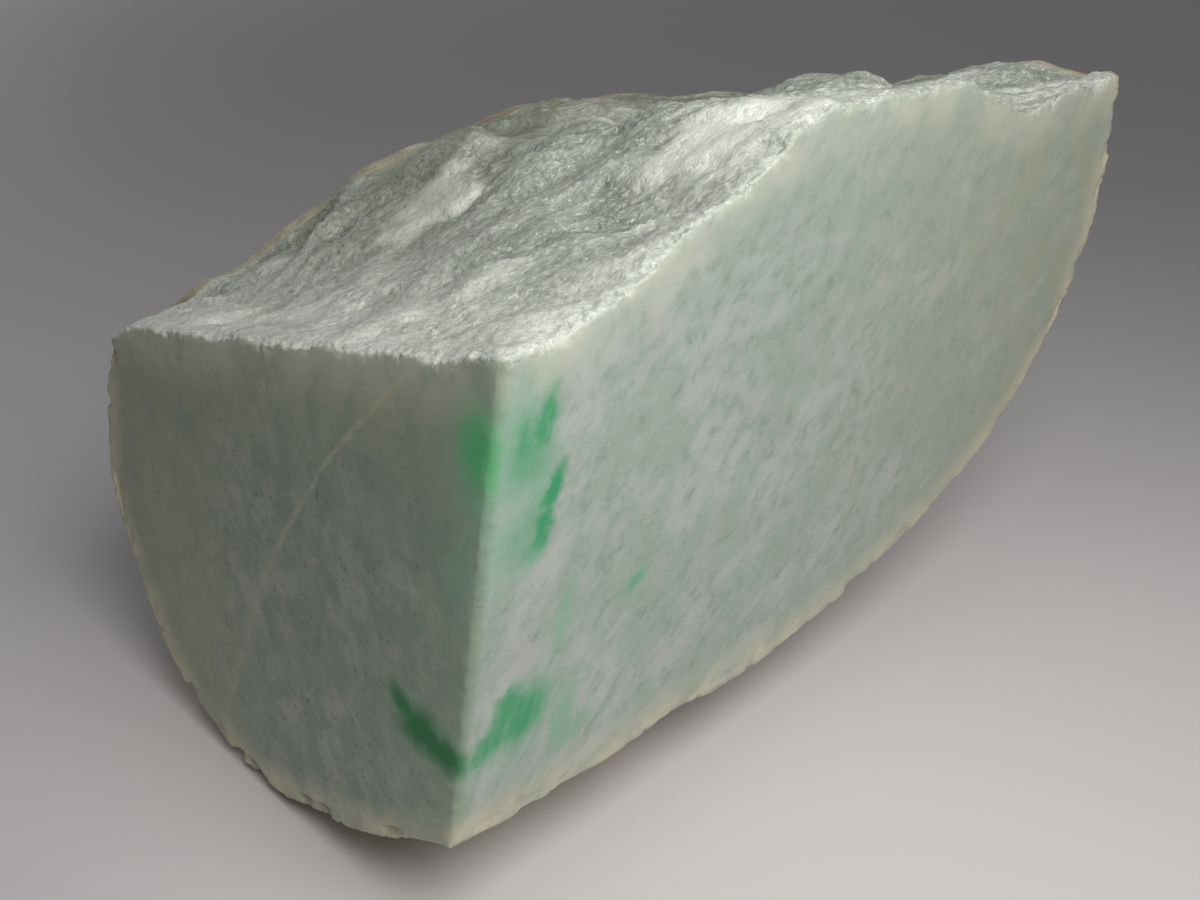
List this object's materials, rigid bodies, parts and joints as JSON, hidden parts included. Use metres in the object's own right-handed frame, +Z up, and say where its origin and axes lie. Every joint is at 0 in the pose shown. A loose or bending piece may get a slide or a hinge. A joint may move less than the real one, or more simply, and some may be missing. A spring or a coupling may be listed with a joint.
{
  "type": "raw jade boulder",
  "caption": "Quarter of a rounded jade cobble with flat sawn faces, a rough broken top and worn river skin, lying on its belly.",
  "frame": {"origin": "middle of the foot of the bounding box, on the surface that the stone lies on", "axes": "+X along the long sawn face towards the stone's far end, +Y from the long sawn face into the stone, +Z up"},
  "size_m": [0.1224, 0.0886, 0.0855],
  "materials": {
    "jade": "pale grey-green mottled jade with emerald patches, matt sawn faces, silky rough break, yellow-beige skin"
  },
  "bodies": {
    "root": {"jade_boulder": "jade"}
  },
  "joints": []
}
